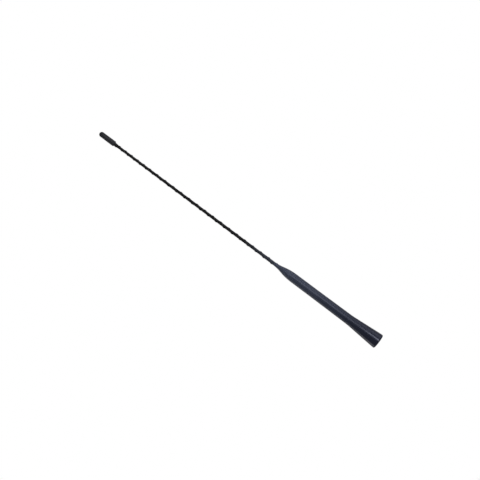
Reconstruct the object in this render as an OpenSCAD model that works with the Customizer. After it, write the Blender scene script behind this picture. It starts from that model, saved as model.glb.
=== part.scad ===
// Screw-on mast aerial for the roof of a car.
// A slim glass-fibre rod carries a wire wound round it, and a shrunk sleeve follows the wire
// as one winding ridge. A moulded rubber foot with a finger grip holds the rod in a brass
// insert that screws onto the roof socket, and a small cap closes the tip.
// The foot's rim stands at z = 0, the mast's axis is Z and the tip is up. Millimetres.

/* [Whole mast] */
// Height from the rim of the foot to the end of the tip cap
mast_h = 400; // [300:1:700]

/* [Foot] */
// Diameter that the flare's straight side reaches at the rim
flare_d = 18.5; // [16.5:0.1:26]
// Height of the flare above the rim
flare_h = 41; // [34:1:60]
// Length of the soft bend on either side of the flare's top
flare_bend = 6; // [3:0.5:9]
// Rounding of the rim's outer edge
rim_round = 1.7; // [0.4:0.1:2]
// Diameter of the open socket under the foot
socket_d = 11; // [10.4:0.1:12]
// Depth of the socket from the rim to the brass insert
socket_depth = 8; // [5:0.5:12]
// Chamfer at the socket's mouth
socket_chamfer = 0.4; // [0.2:0.1:0.8]

/* [Grip] */
// Diameter of the grip just above the flare
grip_low_d = 11.8; // [11:0.1:14]
// Diameter of the slim upper grip
grip_d = 11.1; // [10:0.1:13]
// Height over which the grip slims from the flare upwards
grip_taper_h = 46; // [35:1:70]
// Height of the slim grip up to the nose
grip_slim_h = 33; // [25:1:60]
// Height of the nose from the grip to its lip
nose_h = 30; // [24:0.5:40]
// Share of the nose's height over which it stays full
nose_fullness = 0.59; // [0.4:0.01:0.7]
// Share of the nose's height over which it runs out slim
nose_slimness = 0.41; // [0.2:0.01:0.5]
// Wall of the nose's lip round the sleeve
lip_wall = 0.2; // [0.18:0.02:0.6]
// Wall of rubber that follows the ridge of the sleeve at the lip
ridge_cover = 0.14; // [0.1:0.01:0.16]
// Height of the fine edge in which the lip ends
lip_edge = 0.2; // [0.1:0.05:0.5]

/* [Brass insert] */
// Diameter of the tapped hole for the roof stud, at the thread's crests
stud_hole_d = 4.2; // [4:0.05:5]
// Depth of the tapped hole
stud_hole_depth = 12; // [9:0.5:16]
// Countersink at the tapped hole's mouth
stud_chamfer = 0.5; // [0.2:0.1:0.8]
// Angle of the drill's point at the end of the tapped hole
drill_point = 118; // [90:1:140]
// Diameter of the flange that shows in the socket
flange_d = 10; // [8.8:0.1:10.2]
// Thickness of the flange
flange_h = 1.6; // [1:0.1:2.4]
// Width across the flats of the hexagon that stops the insert from turning
hex_w = 8; // [7:0.1:8.5]
// Height of the hexagon
hex_h = 6; // [4:0.5:7]
// Diameter of the insert's round body
insert_d = 7.6; // [7:0.1:8.4]
// Diameter at the bottom of the groove that locks the insert in the rubber
groove_d = 6.2; // [5.8:0.1:6.8]
// Height of that groove
groove_h = 2; // [1:0.5:3]
// Height of the round body above the rod's foot
body_over_foot = 1; // [0.5:0.5:3]
// Diameter of the barrel that holds the rod
barrel_d = 5.8; // [5.4:0.1:6.8]
// Depth to which the rod stands in the barrel
rod_seat_h = 14; // [9:0.5:20]
// Depth of the wider cup at the barrel's mouth, where the bared wire ends
cup_h = 3; // [2:0.5:4]
// Solid web between the tapped hole and the rod
web_h = 2.5; // [2:0.5:5]

/* [Core rod] */
// Diameter of the rod in the foot
rod_low_d = 2.9; // [2.4:0.05:3.2]
// Diameter of the rod at the tip
rod_top_d = 2.25; // [1.8:0.05:2.4]

/* [Winding] */
// Diameter of the wire
wire_d = 0.5; // [0.3:0.05:0.7]
// Height of one turn near the tip
tip_pitch = 8.6; // [7:0.1:12]
// Height of one turn along the lower whip
low_pitch = 11.4; // [8:0.1:16]
// Number of close turns from the top, before the winding opens out
tight_turns = 6.5; // [3:0.5:9]
// Number of turns over which the pitch grows
easing_turns = 1.7; // [0.5:0.1:4]
// Height of one turn of the lead inside the foot
lead_pitch = 34; // [20:1:60]
// Direction of the winding at the sleeve's top, in degrees from X
start_angle = -50; // [-180:1:180]
// Height of the wire's end above the floor of the insert's cup
wire_end_gap = 0.4; // [0.2:0.1:1]

/* [Sleeve] */
// Wall of the sleeve
sleeve_wall = 0.4; // [0.3:0.05:0.6]
// Share of that wall left over the wire, where the sleeve is drawn thin
ridge_thinning = 0.8; // [0.6:0.05:1]
// Width of the ridge on the sleeve, measured across it
ridge_w = 2.2; // [1.4:0.1:2.4]
// Length of the sleeve inside the rubber nose
sleeve_in_nose = 14; // [8:1:20]

/* [Tip cap] */
// Diameter of the cap at its lower end
cap_d = 6.3; // [5.8:0.1:8]
// Diameter of the cap below its dome
cap_top_d = 6.1; // [5.6:0.1:8]
// Length of the cap
cap_h = 21.8; // [18:0.1:30]
// Rounding of the cap's lower edge
cap_round = 1.4; // [0.3:0.1:1.5]
// Length of the sleeve inside the cap
sleeve_in_cap = 12; // [8:0.5:13]

/* [Fits] */
// Gap between the rubber and the brass that it is moulded on
moulding_gap = 0.02; // [0.01:0.01:0.05]
// Gap between the rod and the parts that hold it
rod_gap = 0.02; // [0.01:0.01:0.05]
// Gap round the wire
wire_gap = 0.02; // [0.01:0.01:0.05]
// Gap between the sleeve and the cap or the nose over it
sleeve_gap = 0.03; // [0.02:0.01:0.05]

/* [Hidden] */
$fn = 96;
// How far a cut runs past the face that it opens
over = 1;

// Heights, from the rim upwards
insert_z = socket_depth;
rod_foot_z = insert_z + stud_hole_depth + web_h;
barrel_top_z = rod_foot_z + rod_seat_h;
taper_top_z = flare_h + grip_taper_h;
nose_z = taper_top_z + grip_slim_h;
lip_z = nose_z + nose_h;
cap_z = mast_h - cap_h;
sleeve_top_z = cap_z + sleeve_in_cap;
sleeve_low_z = lip_z - sleeve_in_nose;
wire_low_z = barrel_top_z - cup_h + wire_end_gap;

// The winding turns by equal steps, and its turns are counted downwards from the sleeve's top
steps = 12;
step_cos = cos(180 / steps);
wire_top_step = 2;
// Share of the rod's radius to which the channel's cut reaches inwards
channel_root = 0.6;
sleeve_turns = turns_at(sleeve_top_z - sleeve_low_z);
lead_turns = (sleeve_low_z - wire_low_z) / lead_pitch;
lip_turns = turns_at(sleeve_top_z - lip_z);

// Depth below the sleeve's top after a number of turns: the pitch is constant, grows evenly
// over the easing turns and is constant again
function depth_at(turns) =
    turns < tight_turns ? tip_pitch * turns
    : turns < tight_turns + easing_turns ?
        tip_pitch * turns + (low_pitch - tip_pitch) * pow(turns - tight_turns, 2) / (2 * easing_turns)
    : tip_pitch * turns + (low_pitch - tip_pitch) * (turns - tight_turns - easing_turns / 2);

// Number of turns on the lower whip at a depth below the sleeve's top
function turns_at(depth) =
    (depth + (low_pitch - tip_pitch) * (tight_turns + easing_turns / 2)) / low_pitch;

// Height after a number of turns, with the open lead below the sleeve
function height_at(turns) =
    turns <= sleeve_turns ? sleeve_top_z - depth_at(turns)
    : sleeve_low_z - lead_pitch * (turns - sleeve_turns);

function pitch_at(turns) =
    turns < tight_turns ? tip_pitch
    : turns < tight_turns + easing_turns ?
        tip_pitch + (low_pitch - tip_pitch) * (turns - tight_turns) / easing_turns
    : turns <= sleeve_turns ? low_pitch : lead_pitch;

// Rod radius: straight in the foot, then an even taper to the tip
function rod_r(z) =
    z < lip_z ? rod_low_d / 2
    : rod_low_d / 2 + (rod_top_d - rod_low_d) / 2 * (z - lip_z) / (sleeve_top_z - lip_z);

function sleeve_r(z) = rod_r(z) + rod_gap + sleeve_wall;
function wire_centre_r(z) = rod_r(z) / step_cos + wire_gap + wire_d / 2;
function ridge_r(z) = wire_centre_r(z) + wire_d / 2 + sleeve_wall * ridge_thinning;

// How far a sloping strand is stretched sideways in a level section
function level_stretch(turns, r) =
    sqrt(pow(2 * PI * r, 2) + pow(pitch_at(turns), 2)) / pitch_at(turns);

// Turn counts from low to high, one for each whole step, with both ends as given
function step_list(low, high) = concat(
    [low],
    [for (k = [ceil(low * steps - 0.001) - 1:-1:floor(high * steps + 0.001) + 1]) k / steps],
    [high]
);

// A level ring of points, each given as a radius and an angle from the winding's own place
function turned_ring(turns, z, polar) =
    [for (p = polar) let (a = start_angle + 360 * turns + p[1]) [p[0] * cos(a), p[0] * sin(a), z]];

// Outline of the sleeve: a round with one soft ridge
function sleeve_section(turns, z, grow) =
    let (
        low = sleeve_r(z) + grow,
        high = ridge_r(z) + grow,
        half = ridge_w / 2 * level_stretch(turns, high) / low * 180 / PI,
        rest = (360 - 2 * half) / 7
    )
    concat(
        [for (k = [-2:2]) [low + (high - low) * pow(cos(45 * k), 2), half / 2 * k]],
        [for (k = [1:6]) [low, half + rest * k]]
    );

// Outline of the wire: a hexagon stretched sideways where the strand slopes
function wire_section(turns, z) =
    let (r = wire_centre_r(z), side = level_stretch(turns, r))
    [for (k = [0:5]) let (
        x = r + wire_d / 2 * cos(60 * k),
        y = wire_d / 2 * side * sin(60 * k)
    ) [norm([x, y]), atan2(y, x)]];

// Outline of the channel that the wire leaves inside the sleeve, open to the rod
function channel_section(turns, z) =
    let (
        r = wire_centre_r(z),
        out = wire_d / 2 + wire_gap / cos(30),
        side = out * level_stretch(turns, r) * sin(60),
        root = rod_r(z) * channel_root
    )
    [for (p = [[root, -side], [r + out / 2, -side], [r + out, 0], [r + out / 2, side], [root, side]])
        [norm(p), atan2(p[1], p[0])]];

// Closed solid through level rings of equally many points, listed from the bottom up
module ringed_solid(rings) {
    count = len(rings[0]);
    top = len(rings) - 1;
    sides = [for (k = [0:top - 1], j = [0:count - 1])
        let (a = k * count + j, b = k * count + (j + 1) % count)
        each [[a, a + count, b + count], [a, b + count, b]]];
    bottom_lid = [for (j = [0:count - 1]) j];
    top_lid = [for (j = [count - 1:-1:0]) top * count + j];
    polyhedron([for (ring = rings) each ring], concat(sides, [bottom_lid, top_lid]));
}

// The sleeve's outer form between two turn counts, grown by a gap and run on past its ends
module whip_form(low, high, grow = 0, below = 0, above = 0) {
    turns = step_list(low, high);
    rings = [for (t = turns) let (z = height_at(t)) turned_ring(t, z, sleeve_section(t, z, grow))];
    last = len(rings) - 1;
    ringed_solid(concat(
        below > 0 ? [[for (p = rings[0]) p - [0, 0, below]]] : [],
        rings,
        above > 0 ? [[for (p = rings[last]) p + [0, 0, above]]] : []
    ));
}

// The rod's form, grown by a gap and run on past its ends
module rod_form(grow = 0, past = 0) {
    low = rod_low_d / 2 + grow;
    high = rod_top_d / 2 + grow;
    rotate_extrude() polygon([
        [0, rod_foot_z - past],
        [low, rod_foot_z - past],
        [low, lip_z],
        [high, sleeve_top_z],
        [high, sleeve_top_z + past],
        [0, sleeve_top_z + past]
    ]);
}

// Points of a curve between two points, bent by one or two control points, without its ends
function soft_corner(a, corner, b) =
    [for (k = [1:9]) let (u = k / 10) (1 - u) * (1 - u) * a + 2 * u * (1 - u) * corner + u * u * b];
function soft_bend(a, to_a, to_b, b) =
    [for (k = [1:19]) let (u = k / 20)
        pow(1 - u, 3) * a + 3 * u * pow(1 - u, 2) * to_a + 3 * u * u * (1 - u) * to_b + pow(u, 3) * b];

// Points of a round arc about a centre, from one angle to another
function arc(centre, r, from, to, parts) =
    [for (k = [0:parts]) let (a = from + (to - from) * k / parts) centre + r * [cos(a), sin(a)]];

module disc(low, high, d) {
    translate([0, 0, low]) cylinder(h = high - low, d = d);
}

// The insert's outer form, grown by a gap
module insert_form(grow = 0) {
    hex_top_z = insert_z + flange_h + hex_h;
    body_top_z = rod_foot_z + body_over_foot;
    disc(insert_z - grow, insert_z + flange_h + grow, flange_d + 2 * grow);
    translate([0, 0, insert_z])
        cylinder(h = flange_h + hex_h + grow, d = hex_w / cos(30) + 2 * grow, $fn = 6);
    disc(insert_z, body_top_z, groove_d + 2 * grow);
    disc(hex_top_z + groove_h - grow, body_top_z + grow, insert_d + 2 * grow);
    disc(insert_z, barrel_top_z + grow, barrel_d + 2 * grow);
}

// Outline of the rubber foot: rounded rim, straight flare, grip, nose and lip
function boot_outline() =
    let (
        slope = (flare_d - grip_low_d) / 2 / flare_h,
        side = atan(slope),
        rim_x = flare_d / 2 - slope * rim_round * (1 - sin(side)) - rim_round * cos(side),
        grip_low = [grip_low_d / 2, flare_h],
        grip_high = [grip_d / 2, taper_top_z],
        nose_low = [grip_d / 2, nose_z],
        lip = [sleeve_r(lip_z) + sleeve_gap + lip_wall, lip_z - lip_edge],
        flare_end = grip_low + flare_bend * [slope, -1],
        taper_start = grip_low + flare_bend * [0, 1]
    )
    concat(
        [[0, 0]],
        arc([rim_x, rim_round], rim_round, -90, side, 10),
        [flare_end],
        soft_corner(flare_end, grip_low, taper_start),
        [taper_start],
        soft_corner(taper_start, grip_high, nose_low),
        [nose_low],
        soft_bend(nose_low, nose_low + [0, nose_h * nose_fullness], lip - [0, nose_h * nose_slimness], lip),
        [lip, [0, lip[1]]]
    );

// Moulded rubber foot with the grip, open below as a socket
module boot() {
    mouth_d = socket_d + 2 * (socket_chamfer + over);
    liner_d = 2 * (wire_centre_r(insert_z) + wire_d / 2 + sleeve_gap);
    mouth_turns = floor(lip_turns * steps - 0.5) / steps;
    follow_turns = min(ceil((lip_turns + 1) * steps) / steps, sleeve_turns);
    color([0.21, 0.23, 0.27]) difference() {
        union() {
            rotate_extrude() polygon(boot_outline());
            whip_form(follow_turns, lip_turns, sleeve_gap + ridge_cover);
        }
        disc(-over, socket_depth, socket_d);
        translate([0, 0, -over])
            cylinder(h = over + socket_chamfer, d1 = mouth_d, d2 = socket_d);
        insert_form(moulding_gap);
        disc(barrel_top_z - over, sleeve_low_z, liner_d);
        whip_form(sleeve_turns, mouth_turns, sleeve_gap, below = sleeve_gap);
    }
}

// Turned brass insert: tapped for the roof stud below, a barrel for the rod above
module foot_insert() {
    tip_z = insert_z + stud_hole_depth;
    cup_d = 2 * (wire_centre_r(insert_z) + wire_d / 2 + wire_gap);
    sink_d = stud_hole_d + 2 * (stud_chamfer + over);
    color([0.78, 0.66, 0.38]) difference() {
        insert_form();
        disc(insert_z - over, tip_z, stud_hole_d);
        translate([0, 0, tip_z])
            cylinder(h = stud_hole_d / 2 / tan(drill_point / 2), d1 = stud_hole_d, d2 = 0);
        translate([0, 0, insert_z - over])
            cylinder(h = over + stud_chamfer, d1 = sink_d, d2 = stud_hole_d);
        rod_form(rod_gap, rod_gap);
        disc(barrel_top_z - cup_h, barrel_top_z + over, cup_d);
    }
}

// Glass-fibre rod from the insert to the cap
module core_rod() {
    color([0.82, 0.8, 0.68]) rod_form();
}

// Wire wound round the rod, with an open lead down to the insert's cup
module antenna_wire() {
    turns = step_list(sleeve_turns + lead_turns, wire_top_step / steps);
    color([0.62, 0.28, 0.14])
        ringed_solid([for (t = turns) let (z = height_at(t)) turned_ring(t, z, wire_section(t, z))]);
}

// Sleeve shrunk over the rod and the wire
module sheath() {
    turns = step_list(ceil(sleeve_turns * steps + 0.5) / steps, (wire_top_step - 1) / steps);
    color([0.1, 0.1, 0.11]) difference() {
        whip_form(sleeve_turns, 0);
        rod_form(rod_gap, over);
        ringed_solid([for (t = turns) let (z = height_at(t)) turned_ring(t, z, channel_section(t, z))]);
    }
}

// Moulded cap with a domed end
module tip_cap() {
    low_r = cap_d / 2;
    top_r = cap_top_d / 2;
    mouth_turns = ceil(sleeve_in_cap / tip_pitch * steps + 0.5) / steps;
    color([0.21, 0.21, 0.22]) difference() {
        rotate_extrude() polygon(concat(
            [[0, cap_z]],
            arc([low_r - cap_round, cap_z + cap_round], cap_round, -90, 0, 8),
            arc([0, mast_h - top_r], top_r, 0, 90, 16)
        ));
        whip_form(mouth_turns, 0, sleeve_gap, above = sleeve_gap);
    }
}

boot();
foot_insert();
core_rod();
antenna_wire();
sheath();
tip_cap();
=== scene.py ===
import math

import bpy
import numpy as np
from mathutils import Matrix, Vector


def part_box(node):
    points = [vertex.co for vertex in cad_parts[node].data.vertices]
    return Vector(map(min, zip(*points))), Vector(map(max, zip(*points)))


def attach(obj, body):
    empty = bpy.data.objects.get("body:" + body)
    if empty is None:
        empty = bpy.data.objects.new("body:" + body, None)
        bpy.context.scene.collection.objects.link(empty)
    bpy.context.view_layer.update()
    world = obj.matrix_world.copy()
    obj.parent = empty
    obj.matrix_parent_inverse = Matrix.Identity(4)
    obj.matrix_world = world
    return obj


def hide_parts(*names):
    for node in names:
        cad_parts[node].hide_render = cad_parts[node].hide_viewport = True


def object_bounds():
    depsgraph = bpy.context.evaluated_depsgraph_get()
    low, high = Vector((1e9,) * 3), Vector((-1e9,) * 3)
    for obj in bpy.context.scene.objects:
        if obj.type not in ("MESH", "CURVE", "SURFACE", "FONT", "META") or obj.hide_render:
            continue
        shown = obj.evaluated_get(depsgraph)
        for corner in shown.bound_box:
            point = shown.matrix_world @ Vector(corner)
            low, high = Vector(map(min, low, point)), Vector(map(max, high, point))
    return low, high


# A car mast aerial: a rubber foot with a finger grip, a slim whip with a winding ridge, and a
# domed cap. Everything is in metres; the mast's axis is Z and the foot's rim is at z = 0.
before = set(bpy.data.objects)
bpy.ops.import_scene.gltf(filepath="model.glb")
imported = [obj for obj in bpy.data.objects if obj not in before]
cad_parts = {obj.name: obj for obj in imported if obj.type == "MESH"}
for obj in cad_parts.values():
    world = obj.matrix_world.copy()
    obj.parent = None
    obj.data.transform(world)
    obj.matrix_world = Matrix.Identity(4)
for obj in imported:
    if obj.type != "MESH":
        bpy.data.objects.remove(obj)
cadLow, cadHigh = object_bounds()
mm = 0.001


def nodeHeights(name):
    # lowest and highest z of a CAD node
    low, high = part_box(name)
    return low[2], high[2]


footLow, lipHeight = nodeHeights("boot")
sleeveLow, sleeveTop = nodeHeights("sheath")
insertLow, barrelTop = nodeHeights("foot_insert")
rodFoot = nodeHeights("core_rod")[0]
capLow, capTop = nodeHeights("tip_cap")
print("frame loaded, mast", round(capTop - footLow, 4), "m")


# Camera

photoView = {
    "frameSide": 480,               # pixels
    "tipPixel": (99.7, 132.95),     # where the two ends of the mast lie in the picture
    "footPixel": (378.7, 341.9),
    "lens": 150.0,                  # mm: a long lens, nearly no perspective
    "sensor": 36.0,
}


def makeCamera():
    # the mast's axis lies in the picture's plane, and its length in pixels gives the scale
    tip, foot = np.array(photoView["tipPixel"]), np.array(photoView["footPixel"])
    run = foot - tip
    metresPerPixel = (capTop - footLow) / np.hypot(*run)
    # where the mast's tip and its +X side point in the picture, with x right and y up
    tipDirection = np.array([-run[0], run[1]]) / np.hypot(*run)
    sideDirection = np.array([tipDirection[1], -tipDirection[0]])
    right = Vector((sideDirection[0], 0, tipDirection[0]))
    up = Vector((sideDirection[1], 0, tipDirection[1]))
    back = right.cross(up)
    middle = photoView["frameSide"] / 2
    footToMiddle = np.array([middle - foot[0], foot[1] - middle]) * metresPerPixel
    centre = Vector((footToMiddle @ sideDirection, 0, footLow + footToMiddle @ tipDirection))
    frameWidth = photoView["frameSide"] * metresPerPixel
    distance = frameWidth * photoView["lens"] / photoView["sensor"]
    data = bpy.data.cameras.new("photoCamera")
    data.lens, data.sensor_width = photoView["lens"], photoView["sensor"]
    camera = bpy.data.objects.new("photoCamera", data)
    bpy.context.scene.collection.objects.link(camera)
    place = Matrix((right, up, back)).transposed().to_4x4()
    place.translation = centre + back * distance
    camera.matrix_world = place
    bpy.context.scene.camera = camera
    print("camera at", tuple(round(v, 3) for v in place.translation))


makeCamera()


# Mesh helpers

def gridPiece(name, grid, material, replaced, creaseAngle, loop=False):
    # grid[row, column] is a point. Columns close round the axis. Rows close too when loop is
    # set; otherwise the first and the last row each close in a pole at their middle. The faces
    # look outwards when the rows run up the outside and the angle grows along the columns.
    rows, columns = grid.shape[:2]
    index = np.arange(rows * columns).reshape(rows, columns)
    beside = np.roll(index, -1, axis=1)
    above, aboveBeside = np.roll(index, -1, axis=0), np.roll(beside, -1, axis=0)
    quads = np.stack([index, beside, aboveBeside, above], axis=-1)
    points, triangles = grid.reshape(-1, 3), np.zeros((0, 3), int)
    if not loop:
        quads = quads[:-1]
        startPole, endPole = len(points), len(points) + 1
        points = np.vstack([points, grid[[0, -1]].mean(axis=1)])
        triangles = np.vstack([
            np.stack([beside[0], index[0], np.full(columns, startPole)], axis=-1),
            np.stack([index[-1], beside[-1], np.full(columns, endPole)], axis=-1),
        ])
    quads = quads.reshape(-1, 4)
    corners = np.concatenate([quads.ravel(), triangles.ravel()])
    cornerCounts = np.repeat([4, 3], [len(quads), len(triangles)])
    starts = np.cumsum(cornerCounts) - cornerCounts
    mesh = bpy.data.meshes.new(name)
    mesh.vertices.add(len(points))
    mesh.vertices.foreach_set("co", points.astype(np.float32).ravel())
    mesh.loops.add(len(corners))
    mesh.loops.foreach_set("vertex_index", corners.astype(np.int32))
    mesh.polygons.add(len(starts))
    mesh.polygons.foreach_set("loop_start", starts.astype(np.int32))
    mesh.update(calc_edges=True)
    mesh.validate()
    mesh.shade_smooth()
    mesh.set_sharp_from_angle(angle=math.radians(creaseAngle))
    mesh.materials.append(material)
    piece = bpy.data.objects.new(name, mesh)
    bpy.context.scene.collection.objects.link(piece)
    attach(piece, "root")
    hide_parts(replaced)
    print(name, "made,", len(quads) * 2 + len(triangles), "triangles")


def anglesRound(columns):
    # even angles of a full turn, as one row
    return np.linspace(0, 2 * np.pi, columns, endpoint=False)[None, :]


def spin(radius, height, angle):
    # points at a radius and an angle round Z, at a height; the three broadcast together
    radius, height, angle = np.broadcast_arrays(radius, height, angle)
    return np.stack([radius * np.cos(angle), radius * np.sin(angle), height], axis=-1)


def roundCorner(centre, radius, startDegrees, endDegrees, count):
    # an arc: centre plus radius times the cosine and sine of even angles, as (radius, height)
    turn = np.radians(np.linspace(startDegrees, endDegrees, count))
    return np.stack([centre[0] + radius * np.cos(turn), centre[1] + radius * np.sin(turn)], axis=-1)


def softCurve(controls, count):
    # Bezier curve: the sum of the control points weighted by the binomial terms of u and 1 - u
    u = np.linspace(0, 1, count)[:, None]
    degree = len(controls) - 1
    weights = [math.comb(degree, k) * u ** k * (1 - u) ** (degree - k) for k in range(degree + 1)]
    return sum(weight * np.array(point)[None] for weight, point in zip(weights, controls))


def partingLines(angle, radius, height, width):
    # fine lines at angles 0 and 180 degrees, where the mould's halves met: a bell curve of the
    # distance round the surface from the nearer line
    fromLine = np.abs((angle + np.pi / 2) % np.pi - np.pi / 2)
    return height * np.exp(-(fromLine * radius / width) ** 2)


# Material helpers

def newMaterial(name):
    # a material, its node tree and shader, and the piece's Object coordinates
    material = bpy.data.materials.new(name)
    material.use_nodes = True
    tree = material.node_tree
    shader = tree.nodes["Principled BSDF"]
    place = tree.nodes.new("ShaderNodeTexCoord").outputs["Object"]
    return material, tree, shader, place


def noise(tree, place, size, detail, roughness=0.5, stretch=None):
    # noise with features about size metres across, drawn out along Z when stretch is set
    texture = tree.nodes.new("ShaderNodeTexNoise")
    texture.inputs["Scale"].default_value = 1 / size
    texture.inputs["Detail"].default_value = detail
    texture.inputs["Roughness"].default_value = roughness
    if stretch:
        mapping = tree.nodes.new("ShaderNodeMapping")
        mapping.inputs["Scale"].default_value = (1, 1, 1 / stretch)
        tree.links.new(place, mapping.inputs["Vector"])
        place = mapping.outputs["Vector"]
    tree.links.new(place, texture.inputs["Vector"])
    return texture.outputs["Fac"]


def twoTones(tree, source, tones, toneRange):
    # a blend of two colours, as the source goes from the low to the high end of a range
    node = tree.nodes.new("ShaderNodeValToRGB")
    for element, tone, position in zip(node.color_ramp.elements, tones, toneRange):
        element.position = position
        element.color = (*tone, 1)
    tree.links.new(source, node.inputs["Fac"])
    return node.outputs["Color"]


def spread(tree, source, low, high, fromLow=0.3, fromHigh=0.7):
    # maps a range of the source, a noise's middle unless told otherwise, onto low to high
    node = tree.nodes.new("ShaderNodeMapRange")
    node.inputs["From Min"].default_value = fromLow
    node.inputs["From Max"].default_value = fromHigh
    node.inputs["To Min"].default_value = low
    node.inputs["To Max"].default_value = high
    tree.links.new(source, node.inputs["Value"])
    return node.outputs["Result"]


def toneAndGloss(tree, shader, source, look):
    # colour and roughness that vary together
    tone = twoTones(tree, source, look["tones"], look["toneRange"])
    tree.links.new(tone, shader.inputs["Base Color"])
    tree.links.new(spread(tree, source, *look["roughness"]), shader.inputs["Roughness"])


def mixColours(tree, factor, first, second, mode="MIX"):
    # the second colour may be a fixed one; the node's inputs 6 and 7 and its output 2 are colours
    node = tree.nodes.new("ShaderNodeMix")
    node.data_type, node.blend_type = "RGBA", mode
    tree.links.new(factor, node.inputs["Factor"])
    tree.links.new(first, node.inputs[6])
    if isinstance(second, bpy.types.NodeSocket):
        tree.links.new(second, node.inputs[7])
    else:
        node.inputs[7].default_value = (*second, 1)
    return node.outputs[2]


def combine(tree, operation, first, second, clamp=False):
    # sum, product or maximum of two values
    node = tree.nodes.new("ShaderNodeMath")
    node.operation, node.use_clamp = operation, clamp
    tree.links.new(first, node.inputs[0])
    tree.links.new(second, node.inputs[1])
    return node.outputs["Value"]


def bump(tree, source, height, strength=1.0, under=None):
    # bump of a height in metres, on top of another bump when one is given
    node = tree.nodes.new("ShaderNodeBump")
    node.inputs["Strength"].default_value = strength
    node.inputs["Distance"].default_value = height
    tree.links.new(source, node.inputs["Height"])
    if under is not None:
        tree.links.new(under, node.inputs["Normal"])
    return node.outputs["Normal"]


def heightOf(tree, place):
    split = tree.nodes.new("ShaderNodeSeparateXYZ")
    tree.links.new(place, split.inputs["Vector"])
    return split.outputs["Z"]


def radiusOf(tree, place):
    # distance from the mast's axis: the length of the place with its z taken out
    flat = tree.nodes.new("ShaderNodeVectorMath")
    flat.operation = "MULTIPLY"
    flat.inputs[1].default_value = (1, 1, 0)
    tree.links.new(place, flat.inputs[0])
    length = tree.nodes.new("ShaderNodeVectorMath")
    length.operation = "LENGTH"
    tree.links.new(flat.outputs["Vector"], length.inputs[0])
    return length.outputs["Value"]


# Winding: where the wire lies under the sleeve

winding = {
    "wire": 0.5 * mm,           # diameter
    "tipPitch": 8.6 * mm,
    "lowPitch": 11.4 * mm,
    "tightTurns": 6.5,          # close turns below the sleeve's top
    "easingTurns": 1.7,         # turns over which the pitch grows
    "startAngle": math.radians(-50),
    "rodLow": 2.9 * mm,         # rod diameters in the foot and at the tip
    "rodTop": 2.25 * mm,
    "seat": 1.035,              # the wire's chords stand off the rod by this factor
    "gap": 0.02 * mm,           # between rod, wire, sleeve and insert
    "tableTurns": 60,           # more turns than the mast has
    "tableSteps": 60000,
}


def depthAt(turns):
    # depth under the sleeve's top: the tip's pitch times the turns, plus the growth of the
    # pitch summed over the easing turns and all turns below them
    eased = np.clip(turns - winding["tightTurns"], 0, winding["easingTurns"])
    later = np.maximum(turns - winding["tightTurns"] - winding["easingTurns"], 0)
    growth = winding["lowPitch"] - winding["tipPitch"]
    grownTurns = eased ** 2 / (2 * winding["easingTurns"]) + later
    return winding["tipPitch"] * turns + growth * grownTurns


turnTable = np.linspace(0, winding["tableTurns"], winding["tableSteps"] + 1)
depthTable = depthAt(turnTable)


def turnsAt(height):
    # depthAt turned round, read from the table
    return np.interp(sleeveTop - height, depthTable, turnTable)


def pitchAt(turns):
    # the tip's pitch, plus its growth times the share of the easing turns gone by
    eased = np.clip((turns - winding["tightTurns"]) / winding["easingTurns"], 0, 1)
    return winding["tipPitch"] + (winding["lowPitch"] - winding["tipPitch"]) * eased


def ridgeAngle(turns):
    # the start angle plus a full turn for each turn of the wire
    return winding["startAngle"] + 2 * np.pi * turns


def rodRadius(height):
    # straight in the foot, then an even taper to the tip
    share = np.clip((height - lipHeight) / (sleeveTop - lipHeight), 0, 1)
    return (winding["rodLow"] + (winding["rodTop"] - winding["rodLow"]) * share) / 2


def wireRadius(height):
    # from the mast's axis to the middle of the wire
    return rodRadius(height) * winding["seat"] + winding["gap"] + winding["wire"] / 2


def overWire(height):
    # from the mast's axis to the wire's outer side
    return wireRadius(height) + winding["wire"] / 2


def levelStretch(turns, radius):
    # a sloping strand is wider in a level section by 1 / sin(slope)
    pitch = pitchAt(turns)
    return np.sqrt((2 * np.pi * radius) ** 2 + pitch ** 2) / pitch


# Sleeve with its winding ridge

sleeve = {
    "wall": 0.4 * mm,
    "ridgeWidth": 2.2 * mm,
    "ridgeWall": 0.8,               # the sleeve thins to this share of its wall over the wire
    "rippleHeight": 0.012 * mm,     # shrink marks: waves along the sleeve that drift and twist
    "rippleRate": 2100,             # rates in radians per metre
    "driftRate": 530,
    "twistRate": 260,
    "drift": 2,                     # radians
    "lobes": 3,                     # waves round the sleeve
    "gather": 0.55 * mm,            # the sleeve is gathered into a taper right under the cap
    "gatherLength": 8 * mm,
    "gatherPower": 1.5,             # over 1 makes the taper hollow
    "skin": 0.20 * mm,              # the foot's rubber ran up the whip as a thin skin
    "skinHeights": (163 * mm, 171 * mm),    # it thins out between them
    "roundedEnd": 0.4 * mm,         # of the taper at the cap and of the skin at the lip
    "rowsPerTurn": 56,
    "boreRowsPerTurn": 22,
    "ridgeColumns": 18,
    "restColumns": 22,
    "creaseAngle": 50,
    # finish: neutral black above; right over the grip a painted bluish sheen of light lightens it,
    # blended in between two heights
    "upperTones": ((0.0028, 0.0028, 0.0032), (0.0062, 0.0062, 0.0070)),
    "paintedSheenTones": ((0.0140, 0.0162, 0.0228), (0.0225, 0.0262, 0.0362)),
    "toneRange": (0.30, 0.70),
    "paintedSheenHeights": (160 * mm, 196 * mm),
    "streaks": dict(size=0.9 * mm, detail=4, stretch=9),
    "streakHeight": 0.07 * mm,
    "streakStrength": 0.8,
    "patches": dict(size=6 * mm, detail=3),
    "roughness": (0.36, 0.54),
    "grain": dict(size=0.22 * mm, detail=4, roughness=0.6),
    "grainHeight": 0.030 * mm,
    "specular": 0.035,
}


def sleeveRadii(height):
    # plain radius of the sleeve, and its radius along the top of the ridge
    low = rodRadius(height) + winding["gap"] + sleeve["wall"]
    return low, overWire(height) + sleeve["wall"] * sleeve["ridgeWall"]


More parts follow.
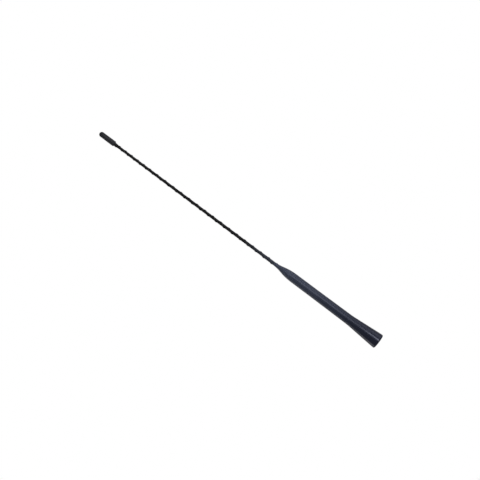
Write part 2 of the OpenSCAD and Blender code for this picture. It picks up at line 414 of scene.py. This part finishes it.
def ridgeHalfAngle(turns, height):
    # half the ridge's width in a level section, as an angle round Z
    low, high = sleeveRadii(height)
    return sleeve["ridgeWidth"] / 2 * levelStretch(turns, high) / low


def ridgedRadius(height, share):
    # the plain radius, plus the ridge's height times the squared cosine of a quarter turn times
    # the share of the way from the ridge's middle to its edge
    low, high = sleeveRadii(height)
    return low + (high - low) * np.cos(share * np.pi / 2) ** 2


def sleeveRadiusAt(height, angle, gap):
    # radius of the sleeve's outside at a height and an angle round Z, grown by a gap
    turns = turnsAt(height)
    away = (angle - ridgeAngle(turns) + np.pi) % (2 * np.pi) - np.pi
    share = np.clip(away / ridgeHalfAngle(turns, height), -1, 1)
    return ridgedRadius(height, share) + gap


def columnAngles(half):
    # angles away from the ridge: close together over +-half and even round the rest
    ridge = np.linspace(-1, 1, sleeve["ridgeColumns"], endpoint=False)[None, :] * half
    rest = np.linspace(0, 1, sleeve["restColumns"], endpoint=False)[None, :]
    return np.concatenate([ridge, half + rest * (2 * np.pi - 2 * half)], axis=1)


def shrinkRipple(height, away):
    # one sine along the sleeve, its phase swayed by a slower one, times a sine round it
    drift = sleeve["drift"] * np.sin(height * sleeve["driftRate"])
    wave = np.sin(height * sleeve["rippleRate"] + drift)
    lobes = np.sin(away * sleeve["lobes"] + height * sleeve["twistRate"])
    return sleeve["rippleHeight"] * wave * lobes


def quarterRound(distance):
    # rises from 0 to 1 along a quarter circle
    return np.sqrt(1 - (1 - np.clip(distance / sleeve["roundedEnd"], 0, 1)) ** 2)


def gatherAt(height):
    # a power of the share of the way up the taper, rounded off at the cap
    share = np.clip(1 - (capLow - height) / sleeve["gatherLength"], 0, 1)
    return sleeve["gather"] * share ** sleeve["gatherPower"] * quarterRound(capLow - height)


def skinAt(height):
    # rounded off at the lip, and a smooth step down to nothing above
    start, end = sleeve["skinHeights"]
    share = np.clip((end - height) / (end - start), 0, 1)
    return sleeve["skin"] * share ** 2 * (3 - 2 * share) * quarterRound(height - lipHeight)


def makeSleeve(material):
    # rows follow the turns and columns the angle away from the ridge
    lastTurn = turnsAt(sleeveLow)
    # outside, from the bottom up
    turns = np.linspace(lastTurn, 0, int(lastTurn * sleeve["rowsPerTurn"]))[:, None]
    height = sleeveTop - depthAt(turns)
    half = ridgeHalfAngle(turns, height)
    away = columnAngles(half)
    radius = ridgedRadius(height, np.clip(away / half, -1, 1)) + shrinkRipple(height, away)
    radius = radius + gatherAt(height) + skinAt(height)
    outside = spin(radius, height, ridgeAngle(turns) + away)
    # bore, from the top down, with the channel of the wire: a half circle about its middle
    turns = np.linspace(0, lastTurn, int(lastTurn * sleeve["boreRowsPerTurn"]))[:, None]
    height = sleeveTop - depthAt(turns)
    centre = wireRadius(height)
    reach = winding["wire"] / 2 + winding["gap"]
    half = reach * levelStretch(turns, centre) / centre
    away = columnAngles(half)
    share = np.clip(away / half, -1, 1)
    channel = centre + reach * np.sqrt(1 - share ** 2)
    radius = np.where(np.abs(share) < 1, channel, rodRadius(height) + winding["gap"])
    inside = spin(radius, height, ridgeAngle(turns) + away)
    gridPiece("sleeve", np.concatenate([outside, inside]), material, "sheath",
              sleeve["creaseAngle"], loop=True)


def sleeveMaterial():
    material, tree, shader, place = newMaterial("shrunkSleeve")
    streaks = noise(tree, place, **sleeve["streaks"])
    upper = twoTones(tree, streaks, sleeve["upperTones"], sleeve["toneRange"])
    # painted sheen: lighter bluish tones right over the grip stand in for the light the whip
    # catches there, blended in by height below
    paintedSheen = twoTones(tree, streaks, sleeve["paintedSheenTones"], sleeve["toneRange"])
    low = spread(tree, heightOf(tree, place), 1, 0, *sleeve["paintedSheenHeights"])
    tree.links.new(mixColours(tree, low, upper, paintedSheen), shader.inputs["Base Color"])
    patches = noise(tree, place, **sleeve["patches"])
    tree.links.new(spread(tree, patches, *sleeve["roughness"]), shader.inputs["Roughness"])
    grain = bump(tree, noise(tree, place, **sleeve["grain"]), sleeve["grainHeight"])
    relief = bump(tree, streaks, sleeve["streakHeight"], sleeve["streakStrength"], grain)
    tree.links.new(relief, shader.inputs["Normal"])
    shader.inputs["Specular IOR Level"].default_value = sleeve["specular"]
    return material


makeSleeve(sleeveMaterial())


# Rubber grip and foot

grip = {
    "flareDiameter": 18.5 * mm,     # where the straight flare reaches the rim's plane
    "flareHeight": 41 * mm,
    "flareBend": 6 * mm,
    "rimRound": 1.7 * mm,
    "lowDiameter": 11.8 * mm,
    "slimDiameter": 11.1 * mm,
    "taperHeight": 46 * mm,
    "noseHeight": 30 * mm,
    "noseFullness": 0.59,           # length of its curve's handle at the grip, as a share of it
    "noseSlimness": 0.41,           # and of the handle at the lip
    "lipWall": 0.2 * mm,
    "lipEdge": 0.2 * mm,
    "ridgeCover": 0.14 * mm,        # rubber over the sleeve's ridge at the lip
    "coverBlend": 0.25 * mm,
    "blendStop": 1 * mm,            # below the lip
    "socketDiameter": 11 * mm,
    "socketChamfer": 0.4 * mm,
    "fitGap": 0.03 * mm,            # round the sleeve and the wire
    "mouldGap": 0.02 * mm,          # round the insert
    "partingHeight": 0.045 * mm,
    "partingWidth": 0.22 * mm,
    "partingRadius": 5.6 * mm,
    "partingTopFade": 4 * mm,       # below the lip
    "partingStart": 1.6 * mm,       # above the rim
    "partingRise": 8 * mm,
    "columns": 160,
    "rimRows": 18,
    "flareRows": 24,
    "bendRows": 24,
    "taperRows": 60,
    "noseRows": 110,
    "lipRows": 6,
    "seatRows": 90,
    "creaseAngle": 38,
    # finish: bluish charcoal, smoother towards the rim, and darkened towards it by painted shade
    "tones": ((0.0190, 0.0228, 0.0350), (0.0295, 0.0345, 0.0510)),
    "toneRange": (0.32, 0.68),
    "clouds": dict(size=14 * mm, detail=5, roughness=0.6, stretch=2),
    "specks": dict(size=0.6 * mm, detail=6, roughness=0.7),
    "dust": (0.075, 0.078, 0.086),
    "dustAmount": 0.06,
    "dustRange": (0.52, 0.80),
    # painted shade: the colour is darkened towards the rim, standing in for light falling off there
    "paintedFootShade": (0.26, 0.26, 0.33),     # multiplies the colour at the rim, and less above it
    "paintedFootShadeHeights": (10 * mm, 135 * mm),
    "footGloss": 0.22,                  # roughness of the foot, of the grip and in the socket
    "gripGloss": 0.38,
    "socketGloss": 0.62,
    "glossHeights": (10 * mm, 32 * mm),
    "socketGlossRadii": (5.55 * mm, 5.9 * mm),      # the socket's finish ends between these
    "socketGlossHeights": (8 * mm, 8.2 * mm),
    "handling": dict(size=9 * mm, detail=4, stretch=3),
    "handlingGloss": (-0.03, 0.03),
    "sparkFinish": dict(size=0.35 * mm, detail=4, roughness=0.6),
    "sparkHeight": 0.035 * mm,
    "sag": dict(size=5 * mm, detail=2),
    "sagHeight": 0.04 * mm,
    "sagStrength": 0.6,
    "specular": 0.08,
    "specularTint": (0.76, 0.80, 1, 1),
}


def gripOutline():
    # rim arc, straight flare, soft bend, taper and nose as Bezier curves, and the lip's arc
    slope = (grip["flareDiameter"] - grip["lowDiameter"]) / 2 / grip["flareHeight"]
    side = math.atan(slope)
    rimRound, lipEdge, noseHeight = grip["rimRound"], grip["lipEdge"], grip["noseHeight"]
    rimIn = slope * rimRound * (1 - math.sin(side))
    rimCentre = (grip["flareDiameter"] / 2 - rimIn - rimRound * math.cos(side), rimRound)
    rim = roundCorner(rimCentre, rimRound, -90, math.degrees(side), grip["rimRows"])
    flareTop = np.array([grip["lowDiameter"] / 2, grip["flareHeight"]])
    taperTop = np.array([grip["slimDiameter"] / 2, grip["flareHeight"] + grip["taperHeight"]])
    noseLow = np.array([grip["slimDiameter"] / 2, lipHeight - noseHeight])
    lipRadius = sleeveRadii(lipHeight)[0] + grip["fitGap"] + grip["lipWall"]
    lip = np.array([lipRadius, lipHeight - lipEdge])
    bendLow = flareTop + grip["flareBend"] * np.array([slope, -1])
    bendTop = flareTop + np.array([0, grip["flareBend"]])
    nose = [noseLow, noseLow + (0, noseHeight * grip["noseFullness"]),
            lip - (0, noseHeight * grip["noseSlimness"]), lip]
    return np.concatenate([
        rim,
        np.linspace(rim[-1], bendLow, grip["flareRows"])[1:],
        softCurve([bendLow, flareTop, bendTop], grip["bendRows"])[1:],
        softCurve([bendTop, taperTop, noseLow], grip["taperRows"])[1:],
        softCurve(nose, grip["noseRows"])[1:],
        roundCorner(lip - (lipEdge, 0), lipEdge, 0, 90, grip["lipRows"])[1:],
    ])


def gripCavity():
    # (radius, height) steps from the sleeve's seat down: the wire's liner, the room for the
    # insert, the socket and its chamfer
    liner = overWire(insertLow) + grip["fitGap"]
    steps = [(liner, sleeveLow), (liner, barrelTop + grip["fitGap"])]
    for radius, low, high in insertSteps(grip["mouldGap"]).values():
        steps += [(radius, high), (radius, low)]
    socket, chamfer = grip["socketDiameter"] / 2, grip["socketChamfer"]
    return np.array(steps + [(socket, insertLow), (socket, chamfer), (socket + chamfer, 0)])


def makeGrip(material):
    # the outline spun round Z, plus the parting lines, which fade out at the rim and the lip
    angle = anglesRound(grip["columns"])
    radius, height = np.split(gripOutline(), 2, axis=1)
    parting = partingLines(angle, grip["partingRadius"], grip["partingHeight"],
                           grip["partingWidth"])
    fade = np.clip((lipHeight - height) / grip["partingTopFade"], 0, 1)
    fade = fade * np.clip((height - grip["partingStart"]) / grip["partingRise"], 0, 1)
    radius = radius + parting * fade
    # near the lip the rubber also covers the sleeve's ridge: the larger of the two radii, with
    # a soft blend where they come close
    cover = sleeveRadiusAt(height, angle, grip["fitGap"] + grip["ridgeCover"])
    near = np.clip(1 - np.abs(radius - cover) / grip["coverBlend"], 0, 1)
    blend = near ** 2 * grip["coverBlend"] / 4 * (height < lipHeight - grip["blendStop"])
    radius = np.maximum(radius, cover) + blend
    # nothing stands out of the CAD model's box
    radius = np.minimum(radius, min(cadHigh[0], cadHigh[1], -cadLow[0], -cadLow[1]))
    outside = spin(radius, height, angle)
    # inside the nose the rubber follows the sleeve and its ridge
    height = np.linspace(lipHeight, sleeveLow, grip["seatRows"])[:, None]
    seat = spin(sleeveRadiusAt(height, angle, grip["fitGap"]), height, angle)
    inside = spin(*np.split(gripCavity(), 2, axis=1), angle)
    gridPiece("gripFoot", np.concatenate([outside, seat, inside]), material,
              "boot", grip["creaseAngle"], loop=True)


def rubberMaterial():
    material, tree, shader, place = newMaterial("mouldedRubber")
    z = heightOf(tree, place)
    clouds = noise(tree, place, **grip["clouds"])
    tone = twoTones(tree, clouds, grip["tones"], grip["toneRange"])
    specks = noise(tree, place, **grip["specks"])
    dusty = spread(tree, specks, 0, grip["dustAmount"], *grip["dustRange"])
    tone = mixColours(tree, dusty, tone, grip["dust"])
    # painted shade: the colour darkens towards the rim
    low = spread(tree, z, 1, 0, *grip["paintedFootShadeHeights"])
    tone = mixColours(tree, low, tone, grip["paintedFootShade"], "MULTIPLY")
    tree.links.new(tone, shader.inputs["Base Color"])
    gloss = spread(tree, z, grip["footGloss"], grip["gripGloss"], *grip["glossHeights"])
    handling = noise(tree, place, **grip["handling"])
    gloss = combine(tree, "ADD", gloss, spread(tree, handling, *grip["handlingGloss"]))
    # the socket's wall is as matt as the core pin left it
    inside = spread(tree, radiusOf(tree, place), 1, 0, *grip["socketGlossRadii"])
    socketGloss = spread(tree, z, grip["socketGloss"], 0, *grip["socketGlossHeights"])
    gloss = combine(tree, "MAXIMUM", gloss, combine(tree, "MULTIPLY", inside, socketGloss))
    tree.links.new(gloss, shader.inputs["Roughness"])
    spark = bump(tree, noise(tree, place, **grip["sparkFinish"]), grip["sparkHeight"])
    sag = noise(tree, place, **grip["sag"])
    relief = bump(tree, sag, grip["sagHeight"], grip["sagStrength"], spark)
    tree.links.new(relief, shader.inputs["Normal"])
    shader.inputs["Specular IOR Level"].default_value = grip["specular"]
    shader.inputs["Specular Tint"].default_value = grip["specularTint"]
    return material


# Brass insert with its tapped hole

insert = {
    "flangeDiameter": 10 * mm,
    "flangeHeight": 1.6 * mm,
    "hexWidth": 8 * mm,
    "hexHeight": 6 * mm,
    "grooveDiameter": 6.2 * mm,
    "grooveHeight": 2 * mm,
    "bodyDiameter": 7.6 * mm,
    "bodyTop": 1 * mm,              # above the rod's foot
    "barrelDiameter": 5.8 * mm,
    "cupHeight": 3 * mm,
    "holeDiameter": 4.2 * mm,       # at the thread's crests
    "holeDepth": 12 * mm,
    "drillSlope": 31,               # degrees, of the hole's end
    "chamfer": 0.5 * mm,
    "threadPitch": 0.8 * mm,
    "threadDepth": 0.4 * mm,
    "threadSteepness": 1.25,        # over 1 flattens the thread's roots
    "crestShare": 0.12,             # flattens its crests
    "leadIn": 0.25,                 # turns over which the thread starts
    "runOut": 1.5,                  # and ends
    "poleRadius": 0.2 * mm,
    "columns": 96,
    "rowsPerThread": 18,
    "creaseAngle": 32,
    # finish
    "tones": ((0.42, 0.29, 0.115), (0.66, 0.50, 0.23)),
    "toneRange": (0.34, 0.66),
    "stain": dict(size=2.2 * mm, detail=5),
    "roughness": (0.24, 0.40),
    "toolMarkPitch": 0.6 * mm,
    "toolMarkHeight": 0.005 * mm,
    "toolMarkWaver": 0.15,
}


def insertSteps(gap):
    # (radius, low, high) of each outer step from the barrel down, grown by a gap
    hexLow = insertLow + insert["flangeHeight"]
    hexTop = hexLow + insert["hexHeight"]
    grooveTop = hexTop + insert["grooveHeight"]
    bodyTop = rodFoot + insert["bodyTop"]
    hexRadius = insert["hexWidth"] / 2 / math.cos(math.pi / 6)
    return {
        "barrel": (insert["barrelDiameter"] / 2 + gap, bodyTop + gap, barrelTop + gap),
        "body": (insert["bodyDiameter"] / 2 + gap, grooveTop - gap, bodyTop + gap),
        "groove": (insert["grooveDiameter"] / 2 + gap, hexTop + gap, grooveTop - gap),
        "hexagon": (hexRadius + gap, hexLow + gap, hexTop + gap),
        "flange": (insert["flangeDiameter"] / 2 + gap, insertLow, hexLow + gap),
    }


def makeInsert(material):
    angle = anglesRound(insert["columns"])
    # rod bore and cup, then the barrel's rim
    bore, cup = rodRadius(rodFoot) + winding["gap"], overWire(insertLow) + winding["gap"]
    boreFloor, cupFloor = rodFoot - winding["gap"], barrelTop - insert["cupHeight"]
    top = np.array([(insert["poleRadius"], boreFloor), (bore, boreFloor), (bore, cupFloor),
                    (cup, cupFloor), (cup, barrelTop)])
    rings = [spin(*np.split(top, 2, axis=1), angle)]
    # outer steps; the hexagon's radius is its half width over the cosine of the angle to the
    # middle of the nearest flat
    fromCorner = np.abs((angle + np.pi / 6) % (np.pi / 3) - np.pi / 6)
    hexagon = insert["hexWidth"] / 2 / np.cos(np.pi / 6 - fromCorner)
    for name, (radius, low, high) in insertSteps(0).items():
        level = np.array([[high], [low]])
        rings.append(spin(hexagon if name == "hexagon" else radius, level, angle))
    # countersink and thread: the wall is cut outwards by a flattened triangle wave of the phase
    # height / pitch - angle / full turn, and the cut fades in and out at its ends
    hole, pitch = insert["holeDiameter"] / 2, insert["threadPitch"]
    mouth, holeTop = insertLow + insert["chamfer"], insertLow + insert["holeDepth"]
    rows = int((holeTop - mouth) / pitch * insert["rowsPerThread"])
    height = np.linspace(mouth, holeTop, rows)[:, None]
    phase = (height / pitch - angle / (2 * np.pi)) % 1
    cut = insert["threadSteepness"] * (1 - np.abs(2 * phase - 1)) - insert["crestShare"]
    fade = np.clip((height - mouth) / (insert["leadIn"] * pitch), 0, 1)
    fade = fade * np.clip((holeTop - height) / (insert["runOut"] * pitch), 0, 1)
    thread = hole + insert["threadDepth"] * np.clip(cut, 0, 1) * fade
    # the drill left a cone at the hole's end
    drillTan = math.tan(math.radians(insert["drillSlope"]))
    drillTop = holeTop + (hole - insert["poleRadius"]) * drillTan
    rings += [spin(hole + insert["chamfer"], insertLow, angle), spin(thread, height, angle),
              spin(insert["poleRadius"], drillTop, angle)]
    gridPiece("threadedInsert", np.concatenate(rings)[::-1], material,
              "foot_insert", insert["creaseAngle"])


def brassMaterial():
    material, tree, shader, place = newMaterial("turnedBrass")
    toneAndGloss(tree, shader, noise(tree, place, **insert["stain"]), insert)
    toolMarks = tree.nodes.new("ShaderNodeTexWave")
    toolMarks.wave_type, toolMarks.rings_direction = "RINGS", "Z"
    toolMarks.inputs["Scale"].default_value = 1 / insert["toolMarkPitch"]
    toolMarks.inputs["Distortion"].default_value = insert["toolMarkWaver"]
    tree.links.new(place, toolMarks.inputs["Vector"])
    relief = bump(tree, toolMarks.outputs["Fac"], insert["toolMarkHeight"])
    tree.links.new(relief, shader.inputs["Normal"])
    shader.inputs["Metallic"].default_value = 1
    return material


makeGrip(rubberMaterial())
makeInsert(brassMaterial())


# Tip cap

cap = {
    "lowDiameter": 6.3 * mm,
    "topDiameter": 6.1 * mm,
    "lowRound": 1.4 * mm,
    "fitGap": 0.03 * mm,
    "partingHeight": 0.03 * mm,
    "partingWidth": 0.16 * mm,
    "partingFade": 1 * mm,          # above the mouth
    "partingDomeFade": 3,           # power of the radius by which the lines fade over the dome
    "domeStart": 89,                # degrees; the pole closes the rest
    "poleRadius": 0.1 * mm,
    "columns": 120,
    "domeRows": 30,
    "sideRows": 24,
    "edgeRows": 14,
    "boreRows": 80,
    "creaseAngle": 38,
    # finish
    "tones": ((0.0095, 0.0098, 0.0115), (0.0165, 0.0170, 0.0200)),
    "toneRange": (0.30, 0.70),
    "clouds": dict(size=5 * mm, detail=5, roughness=0.6),
    "roughness": (0.40, 0.52),
    "grain": dict(size=0.26 * mm, detail=4, roughness=0.6),
    "grainHeight": 0.035 * mm,
    "specular": 0.05,
}


def makeCap(material):
    # the outline spun round Z, plus the parting lines, which fade out at the mouth and the top
    angle = anglesRound(cap["columns"])
    lowRadius, topRadius, edge = cap["lowDiameter"] / 2, cap["topDiameter"] / 2, cap["lowRound"]
    dome = roundCorner((0, capTop - topRadius), topRadius, cap["domeStart"], 0, cap["domeRows"])
    mouth = roundCorner((lowRadius - edge, capLow + edge), edge, 0, -90, cap["edgeRows"])
    side = np.linspace(dome[-1], mouth[0], cap["sideRows"])
    outline = np.concatenate([dome, side[1:], mouth[1:]])
    radius, height = np.split(outline, 2, axis=1)
    parting = partingLines(angle, lowRadius, cap["partingHeight"], cap["partingWidth"])
    fade = np.clip(radius / topRadius, 0, 1) ** cap["partingDomeFade"]
    fade = fade * np.clip((height - capLow) / cap["partingFade"], 0, 1)
    outside = spin(radius + parting * fade, height, angle)
    # bore that follows the sleeve, from the mouth up to its closed end
    height = np.linspace(capLow, sleeveTop, cap["boreRows"])[:, None]
    radius = sleeveRadiusAt(height, angle, cap["fitGap"])
    boreTop = sleeveTop + cap["fitGap"]
    grid = np.concatenate([outside, spin(radius, height, angle), spin(radius[-1:], boreTop, angle),
                           spin(cap["poleRadius"], boreTop, angle)])
    gridPiece("domedCap", grid[::-1], material, "tip_cap", cap["creaseAngle"])


def capMaterial():
    material, tree, shader, place = newMaterial("capPlastic")
    toneAndGloss(tree, shader, noise(tree, place, **cap["clouds"]), cap)
    grain = bump(tree, noise(tree, place, **cap["grain"]), cap["grainHeight"])
    tree.links.new(grain, shader.inputs["Normal"])
    shader.inputs["Specular IOR Level"].default_value = cap["specular"]
    return material


makeCap(capMaterial())


# Rod and wire keep their CAD solids

rod = {
    "tones": ((0.40, 0.38, 0.25), (0.62, 0.60, 0.44)),
    "toneRange": (0.35, 0.65),
    "strands": dict(size=0.25 * mm, detail=3, stretch=60),
    "strandHeight": 0.01 * mm,
    "roughness": (0.30, 0.45),
}

wire = {
    "tones": ((0.36, 0.10, 0.035), (0.50, 0.17, 0.07)),
    "toneRange": (0.35, 0.65),
    "clouds": dict(size=1.5 * mm, detail=3),
    "roughness": (0.22, 0.34),
}


def rodMaterial():
    material, tree, shader, place = newMaterial("glassFibre")
    strands = noise(tree, place, **rod["strands"])
    toneAndGloss(tree, shader, strands, rod)
    tree.links.new(bump(tree, strands, rod["strandHeight"]), shader.inputs["Normal"])
    return material


def wireMaterial():
    material, tree, shader, place = newMaterial("enamelledCopper")
    toneAndGloss(tree, shader, noise(tree, place, **wire["clouds"]), wire)
    shader.inputs["Metallic"].default_value = 1
    return material


for nodeName, makeMaterial in (("core_rod", rodMaterial), ("antenna_wire", wireMaterial)):
    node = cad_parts[nodeName]
    node.data.materials.clear()
    node.data.materials.append(makeMaterial())
    print(nodeName, "dressed")


# Floor, world and lamps

studio = {
    "floorHeight": -0.25,       # the mast is held by its stud, clear of the floor
    "floorSide": 8.0,
    "floorColour": (0.86, 0.86, 0.86),
    "floorRoughness": 0.9,
    "floorGlow": 0.30,          # seen by the camera only, so that the floor looks pale
    "fadeRadii": (0.25, 0.42),  # between them the floor turns into the white surround
    "worldLight": 0.16,
    "lamps": (
        # name, place, size, watts
        ("keyLamp", (2.1, -0.75, 0.3), (1.8, 1.2), 30),
        ("stripLamp", (1.0, -2.8, 0.08), (0.9, 0.62), 76),
        ("sideLamp", (-1.75, 0.45, 0.2), (0.7, 1.4), 15),
        ("backLamp", (-0.6, 1.7, 2.3), (1.6, 1.6), 24),
    ),
}


def backgroundRays(tree):
    # 1 for rays from the camera, a mirror or glass, 0 for those that light the object
    path = tree.nodes.new("ShaderNodeLightPath")
    total = path.outputs["Is Camera Ray"]
    for name in ("Is Glossy Ray", "Is Transmission Ray"):
        total = combine(tree, "ADD", total, path.outputs[name], clamp=True)
    return total


def mixShaders(tree, factor, first, second):
    node = tree.nodes.new("ShaderNodeMixShader")
    tree.links.new(factor, node.inputs["Fac"])
    tree.links.new(first, node.inputs[1])
    tree.links.new(second, node.inputs[2])
    return node.outputs["Shader"]


def makeWorld():
    # white to the camera and in reflections, dimmer as a light
    world = bpy.data.worlds.new("softStudio")
    world.use_nodes = True
    bpy.context.scene.world = world
    tree = world.node_tree
    background = tree.nodes["Background"]
    background.inputs["Color"].default_value = (1, 1, 1, 1)
    level = spread(tree, backgroundRays(tree), studio["worldLight"], 1, 0, 1)
    tree.links.new(level, background.inputs["Strength"])


def floorMaterial():
    material, tree, shader, place = newMaterial("paleFloor")
    shader.inputs["Base Color"].default_value = (*studio["floorColour"], 1)
    shader.inputs["Roughness"].default_value = studio["floorRoughness"]
    shader.inputs["Emission Color"].default_value = (1, 1, 1, 1)
    fromCamera = tree.nodes.new("ShaderNodeLightPath").outputs["Is Camera Ray"]
    lift = spread(tree, fromCamera, 0, studio["floorGlow"], 0, 1)
    tree.links.new(lift, shader.inputs["Emission Strength"])
    # far from the mast the floor runs into the white surround
    glow = tree.nodes.new("ShaderNodeEmission").outputs["Emission"]
    far = spread(tree, radiusOf(tree, place), 0, 1, *studio["fadeRadii"])
    far = combine(tree, "MULTIPLY", far, backgroundRays(tree))
    surface = mixShaders(tree, far, shader.outputs["BSDF"], glow)
    # a camera under the floor looks through it
    clear = tree.nodes.new("ShaderNodeBsdfTransparent").outputs["BSDF"]
    fromBelow = tree.nodes.new("ShaderNodeNewGeometry").outputs["Backfacing"]
    fromBelow = combine(tree, "MULTIPLY", fromBelow, fromCamera)
    surface = mixShaders(tree, fromBelow, surface, clear)
    tree.links.new(surface, tree.nodes["Material Output"].inputs["Surface"])
    return material


def makeFloor(material):
    half, z = studio["floorSide"] / 2, studio["floorHeight"]
    corners = [(-half, -half, z), (half, -half, z), (half, half, z), (-half, half, z)]
    mesh = bpy.data.meshes.new("floor")
    mesh.from_pydata(corners, [], [(0, 1, 2, 3)])
    mesh.materials.append(material)
    floor = bpy.data.objects.new("floor", mesh)
    bpy.context.scene.collection.objects.link(floor)


def makeLamps():
    # each lamp faces the middle of the mast
    target = Vector((0, 0, (capTop + footLow) / 2))
    for name, spot, size, watts in studio["lamps"]:
        data = bpy.data.lights.new(name, "AREA")
        data.shape, data.size, data.size_y = "RECTANGLE", *size
        data.energy = watts
        lamp = bpy.data.objects.new(name, data)
        lamp.location = spot
        lamp.rotation_euler = (target - Vector(spot)).to_track_quat("-Z", "Y").to_euler()
        bpy.context.scene.collection.objects.link(lamp)


makeWorld()
makeFloor(floorMaterial())
makeLamps()
bpy.context.scene.view_settings.view_transform = "Standard"
print("studio set")
